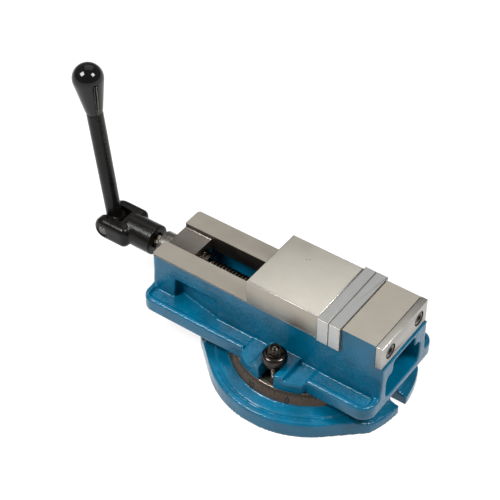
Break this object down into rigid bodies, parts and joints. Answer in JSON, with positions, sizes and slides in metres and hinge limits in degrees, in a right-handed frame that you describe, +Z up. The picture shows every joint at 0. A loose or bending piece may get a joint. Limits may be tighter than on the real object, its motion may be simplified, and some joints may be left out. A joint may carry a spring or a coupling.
{
  "type": "milling machine vise",
  "caption": "Precision milling vise with ground jaws on a graduated swivel base, closed by a screw with a folding crank handle.",
  "frame": {"origin": "on the swivel axis, on the underside of the base", "axes": "+X along the bed towards the fixed jaw, +Z up"},
  "size_m": [0.4926, 0.254, 0.3164],
  "materials": {
    "blue_enamel_casting": "gloss enamel on cast iron",
    "ground_steel": "surface ground",
    "machined_steel": "turned, oiled",
    "machined_iron": "machined",
    "black_oxide_steel": "black oxide",
    "brass_cage": "pressed",
    "black_lacquer_forging": "satin black lacquer",
    "black_knob_plastic": "polished phenolic"
  },
  "bodies": {
    "base": {"swivel_base": "blue_enamel_casting"},
    "vise": {"vise_body": "blue_enamel_casting", "centre_pivot": "ground_steel", "clamp_bolt_near": "black_oxide_steel", "clamp_bolt_far": "black_oxide_steel", "clamp_washer_near": "black_oxide_steel", "clamp_washer_far": "black_oxide_steel", "fixed_jaw_plate": "ground_steel", "fixed_plate_screws": "black_oxide_steel", "rear_jaw_plate": "ground_steel", "rear_plate_screws": "black_oxide_steel", "thrust_washer_front": "ground_steel"},
    "near_nut": {"clamp_nut_near": "black_oxide_steel"},
    "far_nut": {"clamp_nut_far": "black_oxide_steel"},
    "jaw": {"moving_jaw": "ground_steel", "moving_jaw_plate": "ground_steel", "moving_plate_screws": "black_oxide_steel", "jaw_lock_screw": "black_oxide_steel", "lock_segment": "ground_steel", "jaw_nut": "machined_iron"},
    "screw": {"lead_screw": "machined_steel", "spindle_collar": "machined_steel", "collar_set_screw": "black_oxide_steel", "thrust_washer_rear": "ground_steel"},
    "ball_set": {"thrust_balls": "ground_steel", "thrust_cage": "brass_cage"},
    "hub": {"handle_hub": "black_lacquer_forging", "handle_pin": "machined_steel"},
    "arm": {"handle_arm": "black_lacquer_forging", "handle_grip": "black_knob_plastic"}
  },
  "joints": [
    {"name": "swivel", "type": "hinge", "parent": "base", "child": "vise", "pos_m": [0, 0, 0], "axis": [0, 0, 1], "continuous": true},
    {"name": "near_nut_turn", "type": "hinge", "parent": "vise", "child": "near_nut", "pos_m": [0, -0.0755, 0.0693], "axis": [0, 0, 1], "range_deg": [0, 540]},
    {"name": "far_nut_turn", "type": "hinge", "parent": "vise", "child": "far_nut", "pos_m": [0, 0.0755, 0.0693], "axis": [0, 0, 1], "range_deg": [0, 540]},
    {"name": "screw_turn", "type": "hinge", "parent": "vise", "child": "screw", "pos_m": [0, 0, 0.078], "axis": [-1, 0, 0], "range_deg": [0, 7200]},
    {"name": "jaw_slide", "type": "slide", "parent": "vise", "child": "jaw", "axis": [-1, 0, 0], "range_m": [0, 0.1]},
    {"name": "bearing_roll", "type": "hinge", "parent": "vise", "child": "ball_set", "pos_m": [-0.165, 0, 0.078], "axis": [-1, 0, 0], "range_deg": [0, 3600]},
    {"name": "handle_pull", "type": "slide", "parent": "screw", "child": "hub", "axis": [-1, 0, 0], "range_m": [0, 0.03]},
    {"name": "handle_fold", "type": "hinge", "parent": "hub", "child": "arm", "pos_m": [-0.307, 0, 0.078], "axis": [0, 1, 0], "range_deg": [-173, 25]}
  ],
  "couplings": [
    {"joint": "jaw_slide", "follows": "screw_turn", "m_per_rad": 0.00079577},
    {"joint": "bearing_roll", "follows": "screw_turn", "ratio": 0.5}
  ]
}
